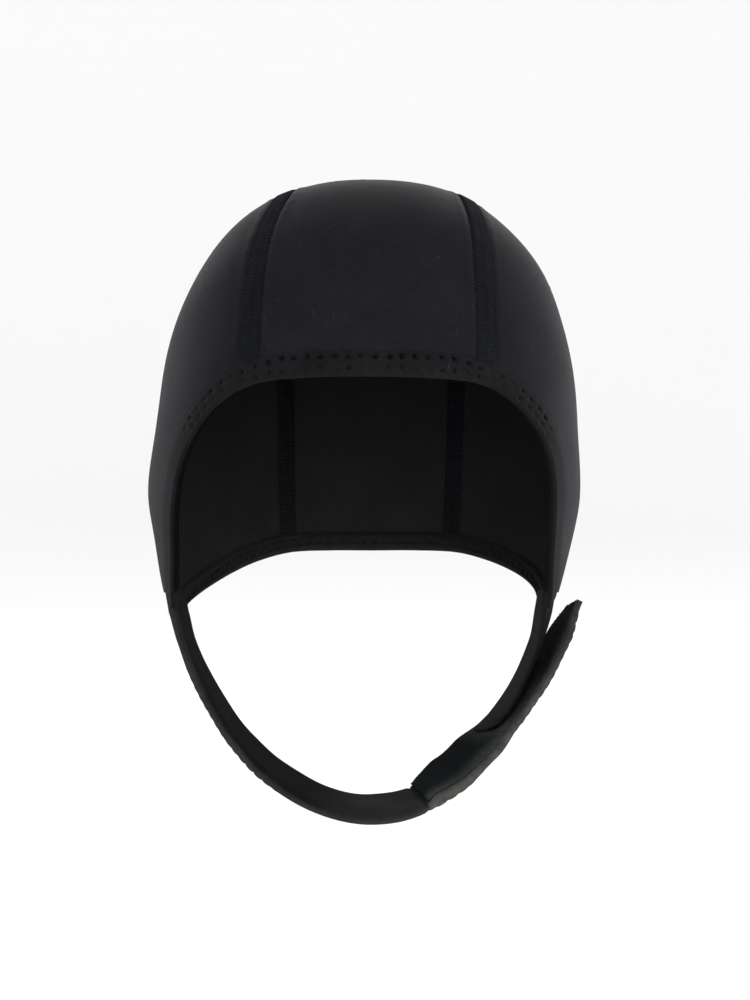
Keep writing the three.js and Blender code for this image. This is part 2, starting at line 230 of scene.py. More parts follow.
def formTerms(place):
    away = place - formMiddle
    forward, below = away[..., 1] < 0, away[..., 2] < 0
    depth = np.where(forward, hoodForm["front"], hoodForm["back"])
    height = np.where(below, hoodForm["down"], hoodForm["up"])
    heightPower = np.where(below, hoodForm["downPower"], hoodForm["upPower"])
    reach = paired(hoodForm["halfWidth"], depth, height)
    return away, reach, paired(hoodForm["widthPower"], hoodForm["depthPower"], heightPower)


def snap(place):
    # straight away from the middle until the place lies on the form
    away, reach, power = formTerms(place)
    share = np.abs(away / reach)
    scale = np.ones(place.shape[:-1] + (1,))
    for step in range(solveRounds):
        term = (share * scale) ** power
        slope = (power * term).sum(-1, keepdims=True) / scale
        scale = scale - (term.sum(-1, keepdims=True) - 1) / slope
    return formMiddle + away * scale


def outward(place):
    away, reach, power = formTerms(place)
    return unit(np.sign(away) * power * np.abs(away / reach) ** (power - 1) / reach)


def dents(place):
    # slow, shallow waves that keep the neoprene from looking turned on a lathe
    (first, second, third), (low, middle, high) = softDents["waves"], softDents["drift"]
    x, y, z = place[..., 0], place[..., 1], place[..., 2]
    wave = np.sin(first * y + low * z + 1.3) * np.sin(second * z - middle * x)
    wave = wave + softDents["second"] * np.sin(third * x + high * y) * np.sin(first * z + 0.4)
    return softDents["depth"] * wave


def inWall(place, depth):
    # sets a place on the form to a depth in the wall, then adds dents, lean, ears and cheeks
    depth = np.asarray(depth, float)[..., None] + dents(place)[..., None]
    point = place - outward(place) * depth
    left = point[..., 0] < 0
    rise = (place[..., 2] - ears["height"]) / ears["halfHeight"]
    back = (place[..., 1] - ears["behind"]) / ears["halfDepth"]
    swell = np.where(left, -ears["leftSwell"], ears["rightSwell"]) * np.exp(-rise ** 2 - back ** 2)
    drop = np.maximum(0, (place[..., 2] - lean["top"]) / (lean["bottom"] - lean["top"]))
    leaning = lean["most"] * drop ** 2 * (1 - lean["sway"] * smooth(place[..., 1] / lean["fadeBack"]))
    low = smooth((place[..., 2] - cheeks["top"]) / (cheeks["bottom"] - cheeks["top"]))
    hug = cheeks["turnIn"] * low * smooth(-place[..., 1] / cheeks["reach"])
    point[..., 0] += swell + leaning + np.where(left, hug, -hug)
    return point


# lines through a few places, as centripetal Catmull-Rom curves

def splineAt(points, place):
    points = np.asarray(points, float)
    padded = np.vstack([2 * points[0] - points[1], points, 2 * points[-1] - points[-2]])
    place = np.clip(np.asarray(place, float), 0, len(points) - 1)
    row = np.minimum(place.astype(int), len(points) - 2)
    part = (place - row)[..., None]
    before, start, end, after = (padded[row + offset] for offset in range(4))
    gaps = [np.linalg.norm(b - a, axis=-1, keepdims=True) ** 0.5
            for a, b in ((before, start), (start, end), (end, after))]
    startSlope = (start - before) / gaps[0] - (end - before) / (gaps[0] + gaps[1]) + (end - start) / gaps[1]
    endSlope = (end - start) / gaps[1] - (after - start) / (gaps[1] + gaps[2]) + (after - end) / gaps[2]
    startSlope, endSlope = startSlope * gaps[1], endSlope * gaps[1]
    return (start + startSlope * part
            + (-3 * start + 3 * end - 2 * startSlope - endSlope) * part ** 2
            + (2 * start - 2 * end + startSlope + endSlope) * part ** 3)


def measuredLine(points, perSpan=120):
    samples = splineAt(points, np.linspace(0, len(points) - 1, perSpan * (len(points) - 1) + 1))
    length = runAlong(samples)
    return {"samples": samples, "shares": length / length[-1], "perSpan": perSpan}


def alongLine(line, share):
    return np.stack([np.interp(share, line["shares"], line["samples"][:, axis]) for axis in range(3)], -1)


# edges of the hood and its seams; rows are x, y, z near the form, from the middle to the strap root

faceRows = [
    (0, -96, -71.6), (21, -94, -72.2), (40.5, -86.3, -75), (52.3, -78.6, -81.5), (61.7, -68.3, -93.5),
    (68.4, -59, -109), (71.9, -50, -127), (72.6, -39, -146), (72, -27.5, -160),
]
napeRows = [
    (0, 92, -148), (18, 91, -148), (35, 86, -148.5), (48, 76, -151), (59, 62, -155),
    (67, 45, -159.5), (70.5, 28, -163), (72, 12, -166.5),
]
seamRows = [  # how far out the left and the right seam are, then y and z
    (41, 41, -86, -74.8), (43.9, 44, -80, -42), (41.6, 43.6, -60, -16), (34.5, 40.8, -28, -1), (33.5, 38, 10, 1),
    (36, 37, 48, -6), (38.5, 37.8, 78, -36), (37.3, 37, 91, -90), (36, 31.5, 86, -148.5),
]
seamRow = 2  # the row of both edges near which the seams end


def onForm(rows, side=1):
    return snap(np.array(rows, float) * (side, 1, 1))


def edgeLine(rows):
    # across runs from -2 at the left root, -1 at the left seam, 0 in the middle, to 2 at the right root
    line = measuredLine(np.vstack([onForm(rows[1:], -1)[::-1], onForm(rows)]))
    seamShare = line["shares"][line["perSpan"] * (len(rows) - 1 + seamRow)] - 0.5

    def at(across):
        far = np.abs(across)
        share = np.where(far < 1, far * seamShare, seamShare + (far - 1) * (0.5 - seamShare))
        return snap(alongLine(line, np.clip(0.5 + np.sign(across) * share, 0, 1)))

    return at


def seamLine(side):
    line = measuredLine(onForm([(left if side < 0 else right, y, z) for left, right, y, z in seamRows], side))
    return lambda along: snap(alongLine(line, np.clip(along, 0, 1)))


faceEdge = edgeLine(faceRows)
napeEdge = edgeLine(napeRows)
seamOf = {side: seamLine(side) for side in sideWords}


def beside(line, at, distance, low, high):
    # a place at a distance from a line, on the form; low and high are the line's ends
    small = 0.01
    at = np.asarray(at, float)
    tangent = unit(line(np.minimum(high, at + small)) - line(np.maximum(low, at - small)))
    place = line(at)
    sideways = np.cross(outward(place), tangent)
    return snap(place + sideways * np.asarray(distance, float)[..., None])


def fromFace(across, distance):
    return beside(faceEdge, across, distance, -2, 2)


def fromNape(across, distance):
    return beside(napeEdge, across, -distance, -2, 2)


def fromSeam(side, along, distance):
    return beside(seamOf[side], along, -distance, 0, 1)


print("edges and seams laid out")


# meshes

def ringBody(rings):
    # a closed body through rings of equal count, whose halves are joined at both ends
    ringCount, size = rings.shape[:2]
    half = np.arange(size // 2 - 1)
    cap = np.stack([half, half + 1, size - 2 - half, size - 1 - half], -1)
    return np.vstack([quadsBetween(ringCount, size), cap[:, ::-1], cap + (ringCount - 1) * size])


def turnedOut(points, faces):
    # flips the faces if the body is inside out
    a, b, c, d = (points[faces[:, corner]] for corner in range(4))
    volume = (np.cross(a, b) * c).sum() + (np.cross(a, c) * d).sum()
    return faces if volume > 0 else faces[:, ::-1]


def addPiece(name, points, faces, grain, finishes, finishOf, creaseAngle, shades=None, nodes=()):
    # grain holds the cloth's own coordinates and finishOf the finish of each face
    mesh = bpy.data.meshes.new(name)
    mesh.from_pydata((points * toMetres).tolist(), [], faces.tolist())
    mesh.polygons.foreach_set("use_smooth", [True] * len(mesh.polygons))
    for finish in finishes:
        mesh.materials.append(finish)
    mesh.polygons.foreach_set("material_index", finishOf.tolist())
    corners = np.zeros(len(mesh.loops), int)
    mesh.loops.foreach_get("vertex_index", corners)
    mesh.uv_layers.new(name="clothGrain").data.foreach_set("uv", (grain[corners] * toMetres).ravel())
    if shades is not None:
        mesh.attributes.new("edgeShade", "FLOAT", "POINT").data.foreach_set("value", np.ravel(shades))
    mesh.set_sharp_from_angle(angle=math.radians(creaseAngle))
    mesh.update()
    piece = addObject(name, mesh)
    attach(piece, "root")
    if nodes:
        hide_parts(*nodes)
    return piece


def addRingPiece(name, rings, grain, finishes, node, finishOfSide=None, shades=None):
    # finishOfSide gives the finish of each strip of a ring
    ringCount, size = rings.shape[:2]
    points = rings.reshape(-1, 3)
    sides = np.zeros(size, int) if finishOfSide is None else np.array(finishOfSide)
    finishOf = np.concatenate([np.tile(sides, ringCount - 1), np.full(size - 2, sides[-1])])
    return addPiece(name, points, turnedOut(points, ringBody(rings)), grain.reshape(-1, 2), finishes, finishOf,
                    55, shades, [node])


def addThreads(name, runs, radius, finish, sides=5):
    # one mesh of many thin tubes, each along a run of places
    allPoints, allFaces, start = [], [], 0
    angles = np.linspace(0, 2 * math.pi, sides, endpoint=False)
    corner = np.arange(sides)
    after = (corner + 1) % sides
    for run in runs:
        tangent = unit(np.gradient(run, axis=0))
        guide = np.where(np.abs(tangent[:, 2:]) > 0.8, (0.0, 1.0, 0.0), (0.0, 0.0, 1.0))
        across = unit(np.cross(tangent, guide))
        up = np.cross(across, tangent)
        ring = run[:, None] + radius * (across[:, None] * np.cos(angles)[:, None]
                                        + up[:, None] * np.sin(angles)[:, None])
        allPoints.append(np.vstack([ring.reshape(-1, 3), run[0], run[-1]]))
        quads = quadsBetween(len(run), sides)
        hub, last = len(run) * sides, (len(run) - 1) * sides
        lid = np.stack([np.full(sides, hub), corner, after], -1)
        tip = np.stack([np.full(sides, hub + 1), last + after, last + corner], -1)
        allFaces.append(np.vstack([quads[:, [0, 3, 2]], quads[:, [0, 2, 1]], lid, tip]) + start)
        start += hub + 2
    points, faces = np.vstack(allPoints), np.vstack(allFaces)
    return addPiece(name, points, faces, points[:, [0, 2]], [finish], np.zeros(len(faces), int), 180)


# finishes

# what all the knits share; a noise is its cells for each metre, its detail and its roughness
jersey = {
    "slant": 1.3, "loopHeight": 0.35,  # of the V loops
    "napNoise": (2600, 2, 0.5), "cloudNoise": (45, 5, 0.65), "fineNoise": (560, 4, 0.8), "patchNoise": (90, 2, 0.5),
    "bumpDistance": 0.00006, "cloudShare": 0.45, "shadeEnds": (0.36, 0.64),
    # shadeBetweenWales is the painted shade in the valleys of the knit
    "shadeBetweenWales": (0.55, 0.55, 0.55), "waleShare": 0.5,
    # painted shade: the tint that darkens the needle holes
    "pitShade": (0.12, 0.11, 0.14, 1),  # deep in a needle hole
    "speckScale": 330, "speckSize": 0.1, "speckStretch": (1, 0.5, 0.45), "speckTurn": (0.3, 0.2, 0.6),
    "patchFrom": 0.62, "roughnessSpan": 0.06,
}
# a knit and a thread have these where their own look says nothing; wale and course are the mm
# between the columns and between the rows of loops
knitLook = {"sheen": 0.0, "wale": 0.62, "course": 0.5, "nap": 1.2, "bump": 0.6,
            "lint": (0.03, 0.03, 0.03, 1), "lintAmount": 0.1}
threadLook = {"roughness": 0.7, "sheen": 0.01, "sheenRoughness": 0.4, "specular": 0.06,
              "twist": 1.5, "bump": 0.5, "bumpDistance": 0.00005, "toneNoise": (300, 3, 0.5),
              "darkest": 0.6, "palest": 1.5, "toneEnds": (0.3, 0.7)}


def scaled(colour, factor):
    return tuple(value * factor for value in colour)


def mixNode(tree, way, share, first, second):
    return addNode(tree, "Mix", {"Factor": share, "A": first, "B": second}, "Result",
                   data_type="RGBA", blend_type=way)


def noiseNode(tree, place, noise):
    scale, detail, roughness = noise
    return addNode(tree, "TexNoise", {"Scale": scale, "Detail": detail, "Roughness": roughness, "Vector": place},
                   "Fac")


def rampNode(tree, value, ends, colours):
    colour = addNode(tree, "ValToRGB", {"Fac": value}, "Color")
    for element, position, shade in zip(colour.node.color_ramp.elements, ends, colours):
        element.position, element.color = position, (*shade, 1)
    return colour


def bumpInto(shader, tree, strength, distance, height):
    bump = addNode(tree, "Bump", {"Strength": strength, "Distance": distance, "Height": height}, "Normal")
    tree.links.new(bump, shader.inputs["Normal"])


def knitFinish(name, look):
    # fine jersey: columns of small V loops, a soft nap, slow shade changes and a few specks of lint
    look = {**knitLook, **look}
    finish, shader = newFinish(name, look)
    tree = finish.node_tree

    def reckon(operation, *values):
        return addNode(tree, "Math", dict(enumerate(values)), 0, operation=operation)

    grain = addNode(tree, "UVMap", {}, "UV", uv_map="clothGrain")
    place = addNode(tree, "TexCoord", {}, "Object")
    wale, course = (reckon("MULTIPLY", addNode(tree, "SeparateXYZ", {0: grain}, axis), 1000 / look[gap])
                    for axis, gap in (("X", "wale"), ("Y", "course")))
    saw = reckon("PINGPONG", wale, 0.5)
    slanted = reckon("ADD", course, reckon("MULTIPLY", saw, jersey["slant"]))
    loops, columns = (reckon("SINE", reckon("MULTIPLY", phase, 2 * math.pi)) for phase in (slanted, saw))
    knit = reckon("ADD", reckon("MULTIPLY", loops, jersey["loopHeight"]), columns)
    nap = noiseNode(tree, place, jersey["napNoise"])
    relief = reckon("ADD", knit, reckon("MULTIPLY", nap, look["nap"]))
    bumpInto(shader, tree, look["bump"], jersey["bumpDistance"], relief)

    # slow cloudy shade, with the edge's colour where the mesh says so; in most finishes that edge colour is painted
    # light and painted shade, on the hem's lip it is the cloth's own paler colour
    cloud = noiseNode(tree, place, jersey["cloudNoise"])
    fine = noiseNode(tree, place, jersey["fineNoise"])
    shade = reckon("ADD", reckon("MULTIPLY", cloud, jersey["cloudShare"]),
                   reckon("MULTIPLY", fine, 1 - jersey["cloudShare"]))

    def clouded(colour):
        ends = [scaled(colour, 1 - look["variation"]), scaled(colour, 1 + look["variation"])]
        return rampNode(tree, shade, jersey["shadeEnds"], ends)

    cloth = clouded(look["colour"])
    if "edgeColour" in look:
        # edgeShade is 1 at an edge, and below zero in a needle hole, which gets painted shade
        edge = addNode(tree, "Attribute", {}, "Fac", attribute_name="edgeShade")
        cloth = mixNode(tree, "MIX", edge, cloth, clouded(look["edgeColour"]))
        cloth = mixNode(tree, "MULTIPLY", reckon("MULTIPLY", edge, -1), cloth, jersey["pitShade"])
    # painted shade: the cloth is darker in the valleys between the wales, where shade falls
    height = reckon("MULTIPLY", reckon("ADD", knit, 1 + jersey["loopHeight"]), 0.37)  # from 0 to 1
    valleyShade = rampNode(tree, height, (0.0, 0.6), [jersey["shadeBetweenWales"], (1, 1, 1)])
    cloth = mixNode(tree, "MULTIPLY", jersey["waleShare"], cloth, valleyShade)

    # lint in a few patches
    stretched = addNode(tree, "Mapping", {"Vector": place, "Scale": jersey["speckStretch"],
                                          "Rotation": jersey["speckTurn"]}, "Vector")
    specks = addNode(tree, "TexVoronoi", {"Scale": jersey["speckScale"], "Randomness": 1, "Vector": stretched},
                     "Distance")
    lint = reckon("MULTIPLY", reckon("LESS_THAN", specks, jersey["speckSize"]),
                  reckon("GREATER_THAN", noiseNode(tree, place, jersey["patchNoise"]), jersey["patchFrom"]))
    cloth = mixNode(tree, "MIX", reckon("MULTIPLY", lint, look["lintAmount"]), cloth, look["lint"])
    tree.links.new(cloth, shader.inputs["Base Color"])
    rough = addNode(tree, "MapRange", {"Value": fine, "To Min": look["roughness"] - jersey["roughnessSpan"],
                                       "To Max": look["roughness"] + jersey["roughnessSpan"]}, "Result")
    tree.links.new(rough, shader.inputs["Roughness"])
    return finish


def threadFinish(name, look):
    # twisted polyester thread: slanting plies and a slight gloss
    look = {**threadLook, **look}
    finish, shader = newFinish(name, look)
    tree = finish.node_tree
    place = addNode(tree, "TexCoord", {}, "Object")
    plies = addNode(tree, "TexWave", {"Scale": look["ply"], "Distortion": look["twist"], "Vector": place}, "Fac",
                    bands_direction="DIAGONAL")
    bumpInto(shader, tree, look["bump"], look["bumpDistance"], plies)
    tone = rampNode(tree, noiseNode(tree, place, look["toneNoise"]), look["toneEnds"],
                    [scaled(look["colour"], look[end]) for end in ("darkest", "palest")])
    tree.links.new(tone, shader.inputs["Base Color"])
    return finish


# the edge colour is painted shade near the seams on the side panels
outerKnit = knitFinish("outerKnit", {
    "colour": (0.0049, 0.0046, 0.0058), "edgeColour": (0.0030, 0.0029, 0.0038), "variation": 0.4,
    "roughness": 0.84, "sheen": 0.08, "sheenRoughness": 0.26, "sheenTint": (0.94, 0.94, 1, 1), "specular": 0.08,
    "lint": (0.05, 0.05, 0.053, 1), "lintAmount": 0.3,
})
liningKnit = knitFinish("liningKnit", {
    "colour": (0.0092, 0.0090, 0.0097), "variation": 0.18, "roughness": 0.9, "sheen": 0.006, "specular": 0.04,
    "wale": 0.7, "course": 0.55, "nap": 1.1, "bump": 0.5, "lint": (0.04, 0.04, 0.042, 1), "lintAmount": 0.2,
})
hemKnit = knitFinish("hemKnit", {
    "colour": (0.0047, 0.0044, 0.0055), "edgeColour": (0.0052, 0.0052, 0.0047), "variation": 0.45,
    "roughness": 0.86, "sheen": 0.04, "sheenRoughness": 0.3, "sheenTint": (0.96, 0.96, 1, 1), "specular": 0.06,
    "nap": 1.4, "bump": 0.8, "lint": (0.07, 0.07, 0.07, 1), "lintAmount": 0.3,
})
# the dark colour is painted shadow in the folded edge; the edge colour is where that shadow ends, with some painted
# light on the right
hemUnderKnit = knitFinish("hemUnderKnit", {
    "colour": (0.0030, 0.0030, 0.0028), "edgeColour": (0.0105, 0.0105, 0.0110), "variation": 0.25,
    "roughness": 0.95, "specular": 0.0, "lintAmount": 0.15,
})
# the pale edge colour is painted light on the hook tape's front edge and upper part
tapeKnit = knitFinish("tapeKnit", {
    "colour": (0.0016, 0.0032, 0.0042), "edgeColour": (0.0310, 0.0330, 0.0315), "variation": 0.45,
    "roughness": 0.9, "specular": 0.05, "wale": 0.8, "course": 0.8, "nap": 1.5, "bump": 0.7,
})
seamBase = knitFinish("seamBase", {
    "colour": (0.0044, 0.0050, 0.0066), "variation": 0.35,
    "roughness": 0.88, "sheen": 0.012, "sheenRoughness": 0.4, "sheenTint": (0.85, 0.92, 1, 1), "specular": 0.05,
    "wale": 0.8, "course": 1.7, "nap": 1.4, "bump": 0.8, "lint": (0.03, 0.03, 0.035, 1),
})
# the edge colour is painted light on the straps' edges
strapLook = {
    "colour": (0.0070, 0.0070, 0.0076), "edgeColour": (0.0205, 0.0205, 0.0198), "variation": 0.35,
    "roughness": 0.86, "sheen": 0.035, "sheenRoughness": 0.34, "sheenTint": (0.97, 1, 0.98, 1), "specular": 0.1,
    "nap": 1.0, "bump": 0.5, "lint": (0.07, 0.07, 0.07, 1), "lintAmount": 0.25,
}
strapOuterKnit = knitFinish("strapOuterKnit", strapLook)
# the inner face's darker colour is painted shade
strapInnerKnit = knitFinish("strapInnerKnit", {
    **strapLook, "colour": (0.0042, 0.0042, 0.0045), "sheen": 0.0, "specular": 0.02})
# its paler edge colour is the rim's painted light, with a little pale wear
endOuterKnit = knitFinish("endOuterKnit", {**strapLook, "edgeColour": (0.040, 0.042, 0.038), "variation": 0.45})
# the pale colour is the tab's face as painted light, the edge colour painted shade on its edges, outer face and tip
tabKnit = knitFinish("tabKnit", {
    **strapLook, "colour": (0.0105, 0.0105, 0.0105), "edgeColour": (0.0030, 0.0038, 0.0046), "sheen": 0.0,
    "specular": 0.04})
seamThread = threadFinish("seamThread", {"colour": (0.0040, 0.0045, 0.0061), "ply": 900})
stitchThread = threadFinish("stitchThread", {"colour": (0.0042, 0.0042, 0.0046), "ply": 1100})
lintThread = threadFinish("lintThread", {
    "colour": (0.034, 0.034, 0.037), "roughness": 0.8, "sheen": 0.0, "specular": 0.05, "ply": 1500})
pileThread = threadFinish("pileThread", {
    "colour": (0.0026, 0.0042, 0.0050), "roughness": 0.6, "sheen": 0.0, "specular": 0.08, "ply": 1600})
print("finishes mixed")


# panels

panelCloth = {
    "acrossCentre": 84,  # mesh counts
    "acrossSide": 108,
    "along": 240,
    "clearOutside": 9.6,  # the hems' outer skin reaches this far from the edge
    "clearInside": 8.0,
    "insideRelief": 0.7,  # share of the relief that shows on the lining
    "tuck": 3.3,  # how near to the seam line the cloth goes, under the seam's threads
    "sideFade": 1.6,
    "hemFade": 0.02,
}
besideSeam = {
    "reach": 24,
    "ridge": 0.3, "ridgeAt": 5.8, "ridgeWidth": 1.5,  # the cloth swells beside the seam that pulls it in
    "dip": 0.4, "dipWidth": 3.9,
    "pucker": 0.05, "puckerPitch": 8.5, "puckerWidth": 4.5,
    "shadeWidth": 7,
    "bandEdge": 4,  # the pucker is deepest here, and the shade begins to fade
    "marks": 801, "markGap": 0.42,  # places held for each seam, and the mm between them
}


def nearSeam(side, point, along):
    # the nearest place along a seam, and how far out from the seam the point is
    small = 0.002
    for step in range(solveRounds):
        place = seamOf[side](along)
        ahead = seamOf[side](along + small) - place
        along = along + small * ((point - place) * ahead).sum() / (ahead ** 2).sum()
    away = point - seamOf[side](along)
    return along, side * np.sign(away[0]) * np.linalg.norm(away)


def seamStart(fromEdge):
    # a first guess for how far along a seam an edge of the hood crosses it
    return 0.03 if fromEdge is fromFace else 0.97


def panelCorner(side, fromEdge, clear, outside):
    # where the line beside an edge meets the line beside a seam: across the edge, along the seam
    reach = panelCloth["tuck"] if outside else -panelCloth["tuck"]
    small = 0.01
    perMillimetre = small / np.linalg.norm(fromEdge(1.0, 0) - fromEdge(1.0 + small, 0))
    across = 1 + reach * perMillimetre
    for step in range(solveRounds):
        along, offset = nearSeam(side, fromEdge(side * across, clear), seamStart(fromEdge))
        across += (reach - offset) * perMillimetre
    return side * across, along


def patch(face, nape, start, end, fade):
    # a piece of the form between four boundary lines whose corners are closed up first
    across = np.linspace(0, 1, len(face))[:, None, None]
    along = np.linspace(0, 1, len(start))[None, :, None]
    close = along[0]
    start = start + (face[0] - start[0]) * (1 - close) + (nape[0] - start[-1]) * close
    end = end + (face[-1] - end[0]) * (1 - close) + (nape[-1] - end[-1]) * close
    weight = 1 - (1 - across) ** fade
    place = start[None] * (1 - weight) + end[None] * weight
    place = place + face[:, None] * (1 - along) + nape[:, None] * along
    place = place - (1 - weight) * ((1 - along) * face[0] + along * nape[0])
    place = place - weight * ((1 - along) * face[-1] + along * nape[-1])
    return snap(place)


def centreGrid(clear):
    faceLeft, faceRight = (panelCorner(side, fromFace, clear, False) for side in sideWords)
    napeLeft, napeRight = (panelCorner(side, fromNape, clear, False) for side in sideWords)
    share = np.linspace(0, 1, panelCloth["acrossCentre"])
    run = np.linspace(0, 1, panelCloth["along"])
    tuck = panelCloth["tuck"]
    return patch(
        fromFace(mix(faceLeft[0], faceRight[0], share), clear),
        fromNape(mix(napeLeft[0], napeRight[0], share), clear),
        fromSeam(-1, mix(faceLeft[1], napeLeft[1], run), tuck),
        fromSeam(1, mix(faceRight[1], napeRight[1], run), -tuck),
        1,
    )


def sideGrid(side, clear):
    atFace, atNape = (panelCorner(side, fromEdge, clear, True) for fromEdge in (fromFace, fromNape))
    share = np.linspace(0, 1, panelCloth["acrossSide"])
    run = np.linspace(0, 1, panelCloth["along"])
    faceRoot, napeRoot = fromFace(2.0 * side, clear), fromNape(2.0 * side, clear)
    return patch(
        fromFace(mix(atFace[0], 2 * side, share), clear),
        fromNape(mix(atNape[0], 2 * side, share), clear),
        fromSeam(side, mix(atFace[1], atNape[1], run), side * panelCloth["tuck"]),
        snap(faceRoot + (napeRoot - faceRoot) * run[:, None]),
        panelCloth["sideFade"],
    )


seamTree = KDTree(2 * besideSeam["marks"])
for number, side in enumerate(sideWords):
    for index, place in enumerate(seamOf[side](np.linspace(0, 1, besideSeam["marks"]))):
        seamTree.insert(place, index + number * besideSeam["marks"])
seamTree.balance()


def seamRelief(seam, grid):
    # height beside the seams, with a ridge, a dip under the threads and small puckers, and nearness, which sets the
    # painted shade near the seams
    found = np.array([seamTree.find(place)[1:] for place in grid.reshape(-1, 3)])
    number, distance = found.T.reshape(2, *grid.shape[:2])
    run = seam["markGap"] * (number % seam["marks"])
    out = distance - seam["bandEdge"]
    ridge = seam["ridge"] * bell((distance - seam["ridgeAt"]) / seam["ridgeWidth"])
    dip = seam["dip"] * np.exp(-(distance / seam["dipWidth"]) ** 4)
    wave = np.sin(2 * math.pi * run / seam["puckerPitch"] + 1.7 * np.sin(run / 23))
    pucker = seam["pucker"] * wave * bell(out / seam["puckerWidth"])
    nearness = bell(np.maximum(0, out) / seam["shadeWidth"])
    near = distance <= seam["reach"]
    return (ridge - dip + pucker) * near, nearness * near


def makePanel(name, gridOf, shadow, node):
    # painted shade: shadow is how much the panel is painted darker near the seams, where the side panels lie in
    # shade
    outside, inside = gridOf(panelCloth["clearOutside"]), gridOf(panelCloth["clearInside"])
    count, rows = outside.shape[:2]
    relief, nearness = seamRelief(besideSeam, outside)
    along = np.linspace(0, 1, rows)[None]
    relief = relief * smooth(along / panelCloth["hemFade"]) * smooth((1 - along) / panelCloth["hemFade"])
    outer = inWall(outside, -relief)
    inner = inWall(inside, hoodForm["wall"] + panelCloth["insideRelief"] * relief)
    rings = np.concatenate([outer, inner[::-1]], 0).transpose(1, 0, 2)
    width, length = runAlong(outside[:, rows // 2])[-1], runAlong(outside[count // 2])[-1]
    u, v = np.meshgrid(np.linspace(0, width, count), np.linspace(0, length, rows))
    grain = np.stack([np.concatenate([u, u[:, ::-1]], 1), np.concatenate([v, v], 1)], -1)
    shades = shadow * np.concatenate([nearness, nearness[::-1]], 0).T
    piece = addRingPiece(name, rings, grain, [outerKnit, liningKnit], node,
                         [0] * (count - 1) + [1] * (count + 1), shades)
    print(name, "sewn with", len(piece.data.polygons), "faces")


makePanel("centrePanelCloth", centreGrid, 0, "centre_panel")
for side, word in sideWords.items():
    makePanel(word + "PanelCloth", lambda clear: sideGrid(side, clear), 1, "side_panel_" + word)


# lint: short pale fibres on the outer face

lintFibres = {"count": 260, "length": (0.7, 2.4), "radius": 0.045, "curl": 0.3, "seed": 21,
              "lowestFront": -64, "lowestRear": -136, "rearFrom": 30, "seamGap": 5}


def addLint(lint):
    dice = np.random.default_rng(lint["seed"])
    bend = np.linspace(-0.5, 0.5, 5)
    bow = 1 - 4 * bend ** 2
    runs = []
    while len(runs) < lint["count"]:
        way = dice.normal(size=3) * (1, 1, 0.8) + (0, 0, 0.35)
        place = snap(formMiddle + unit(way) * 90)
        lowest = lint["lowestFront"] if place[1] < lint["rearFrom"] else lint["lowestRear"]
        if place[2] < lowest or seamTree.find(place)[2] < lint["seamGap"]:
            continue
        outwards = outward(place)
        tangent = unit(np.cross(outwards, dice.normal(size=3)))
        length = dice.uniform(*lint["length"])
        curl = np.cross(outwards, tangent) * dice.uniform(-lint["curl"], lint["curl"]) * length
        fibre = place + length * bend[:, None] * tangent + bow[:, None] * curl
        runs.append(inWall(snap(fibre), -0.02 - 0.05 * bow))
    addThreads("lintFibres", runs, lint["radius"], lintThread, 4)


addLint(lintFibres)


# hems: the cloth folded in at the edge and held by two rows of cover stitch

faceHem = {
    "thick": 3.5, "proud": 0.3, "skin": 9.6, "noseLength": 1.2, "rawEdge": 8.0, "rawDepth": 1.6,
    "rows": (3.2, 7.4), "pitch": 4.7, "stray": (0.1, 0.35), "pull": (0.3, 1.25), "pullOfRow": (0.75, 1.0),
    "groove": 0.2, "holeDepth": 1.15, "holeSize": 0.7, "holeShade": 3.4, "pucker": 0.42,
    "between": 0.12, "betweenWidth": 1.6,  # the swell between the rows
    "fadeFrom": 1.26, "threadRadius": 0.2,
    "step": 0.6, "skinPoints": 32, "nosePoints": 17, "flapPoints": 22,
}
napeHem = {**faceHem, "rows": (2.7, 6.6), "thick": 4.0, "noseLength": 1.8, "fadeFrom": 1.8}
# where both hems change, from 0 in the middle of an edge to 2 at its end, and by what share
hemTurns = {"corner": 0.6, "cheek": 1.3, "paleFrom": 0.8, "paleTo": 1.5, "strap": 1.91,
            "narrowing": 0.22, "flatter": 0.55}


def skinDepth(hem, distance):
    # the outer skin stands a little proud of the form, and runs out to it where the panels begin
    return -hem["proud"] * smooth((hem["skin"] - distance) / 3)


def hemSection(hem):
    # distance from the edge and depth of each point: outer skin, round nose, inner flap, raw edge
    radius = hem["thick"] / 2
    middle = radius - hem["proud"]
    flat = np.linspace(hem["skin"], hem["noseLength"], hem["skinPoints"])
    skin = paired(flat, skinDepth(hem, flat))
    turn = np.linspace(0, math.pi, hem["nosePoints"])[1:-1]
    nose = paired(hem["noseLength"] * (1 - np.sin(turn)), middle - radius * np.cos(turn))
    flap = np.linspace(hem["noseLength"], hem["rawEdge"] - 0.4, hem["flapPoints"])
    slope = (middle + radius - hoodForm["wall"] - 0.2) * smooth((flap - hem["rawEdge"] + 2) / 2)
    inner = paired(flap, middle + radius - slope)
    # the last point is there twice, because a ring needs an even count
    edge = [(hem["rawEdge"], depth) for depth in (hoodForm["wall"], hem["rawDepth"], hem["rawDepth"])]
    return np.vstack([skin, nose, inner, edge])


def hemMeasure(hem, fromEdge):
    # length along the edge, and the stitch places about one pitch apart
    fine = np.linspace(-2, 2, 2001)
    length = runAlong(fromEdge(fine, 0))
    count = int(length[-1] / hem["pitch"])
    dice = np.random.default_rng(count)
    along, aside = hem["stray"]
    stray = dice.uniform(-along, along, (2, count + 1))
    middles = (np.arange(count) + 0.5 + stray[:, :count]) / count
    return {
        "total": length[-1], "count": count, "fine": fine, "length": length, "stray": stray,
        "places": np.interp(middles * length[-1], length, fine),
        "aside": dice.uniform(-aside, aside, (2, count + 1)),
        "pull": dice.uniform(*hem["pull"], (2, count + 1)) * np.array(hem["pullOfRow"])[:, None],
    }


